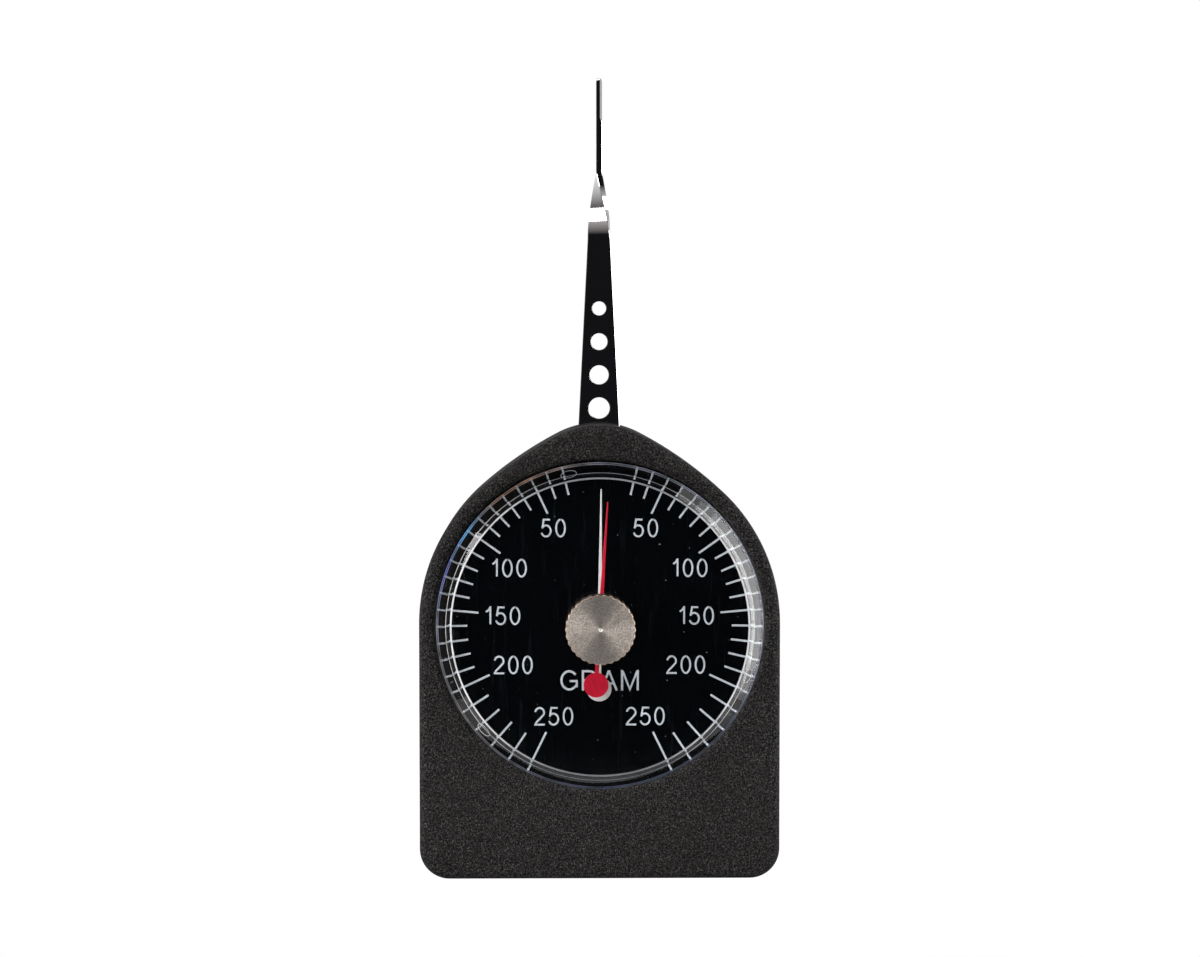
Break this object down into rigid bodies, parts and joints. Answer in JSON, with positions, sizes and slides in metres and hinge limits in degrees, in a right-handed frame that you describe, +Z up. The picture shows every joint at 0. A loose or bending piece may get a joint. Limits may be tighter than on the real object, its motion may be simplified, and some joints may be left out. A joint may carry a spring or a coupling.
{
  "type": "pocket dial force gauge",
  "caption": "Pocket dial force gauge: a feeler lever on top turns a geared pointer over a round dial, and a knob resets a drag pointer.",
  "frame": {"origin": "middle of the flat base of the case, half way through its depth", "axes": "+Z up along the feeler lever, +Y to the back of the case, +X to the right of the dial"},
  "size_m": [0.06, 0.0253, 0.1334],
  "materials": {
    "textured_black_paint": "fine wrinkle texture, satin black",
    "dial_black": "satin black with white print",
    "clear_plastic": "clear moulded acrylic, polished",
    "polished_steel": "mirror polished",
    "spring_steel": "tempered, satin",
    "screw_steel": "dark oxide",
    "turned_nickel": "nickel plate over fine turning marks",
    "brass": "milled",
    "white_paint": "satin white",
    "red_paint": "satin red"
  },
  "bodies": {
    "case": {"case_housing": "textured_black_paint", "rear_cover": "textured_black_paint", "cover_screw_upper_left": "screw_steel", "cover_screw_upper_right": "screw_steel", "cover_screw_lower_left": "screw_steel", "cover_screw_lower_right": "screw_steel", "dial_plate": "dial_black", "crystal": "clear_plastic", "crystal_bush": "brass", "movement_plate": "brass", "movement_screw_upper_left": "screw_steel", "movement_screw_upper_right": "screw_steel", "movement_screw_lower_left": "screw_steel", "movement_screw_lower_right": "screw_steel", "arbor_bridge": "brass", "arbor_bridge_screw_left": "screw_steel", "arbor_bridge_screw_right": "screw_steel", "arbor_pillar_left": "brass", "arbor_pillar_right": "brass", "arbor_bush_front": "brass", "arbor_bush_rear": "brass", "lever_bridge": "brass", "lever_bridge_screw_left": "screw_steel", "lever_bridge_screw_right": "screw_steel", "lever_pillar_left": "brass", "lever_pillar_right": "brass", "lever_bush_front": "brass", "lever_bush_rear": "brass", "stop_pin_left": "screw_steel", "stop_pin_right": "screw_steel", "measuring_spring": "spring_steel", "spring_block": "brass", "block_screw_left": "screw_steel", "block_screw_right": "screw_steel", "hairspring": "spring_steel", "hairspring_stud": "screw_steel"},
    "lever": {"feeler_lever": "polished_steel", "lever_shaft": "polished_steel", "sector_gear": "brass", "sector_rivet_upper": "screw_steel", "sector_rivet_lower": "screw_steel", "spring_fork": "spring_steel"},
    "pointer": {"pinion_arbor": "polished_steel", "hairspring_collet": "brass", "pointer_hub": "brass", "main_pointer": "white_paint", "drive_pin": "screw_steel"},
    "drag": {"reset_knob": "turned_nickel", "knob_spindle": "screw_steel", "friction_washer": "spring_steel", "drag_hub": "brass", "drag_pointer": "red_paint"}
  },
  "joints": [
    {"name": "lever_swing", "type": "hinge", "parent": "case", "child": "lever", "pos_m": [0, 0, 0.07129], "axis": [0, 1, 0], "range_deg": [-11.4, 11.4], "stiffness_Nm_per_rad": 0.8, "deforming": ["measuring_spring"]},
    {"name": "pointer_turn", "type": "hinge", "parent": "case", "child": "pointer", "pos_m": [0, 0, 0.0425], "axis": [0, 1, 0], "range_deg": [-160, 160], "deforming": ["hairspring"]},
    {"name": "knob_turn", "type": "hinge", "parent": "case", "child": "drag", "pos_m": [0, 0, 0.0425], "axis": [0, 1, 0], "range_deg": [-163.6, 156.4]}
  ],
  "couplings": [
    {"joint": "pointer_turn", "follows": "lever_swing", "ratio": -14}
  ]
}
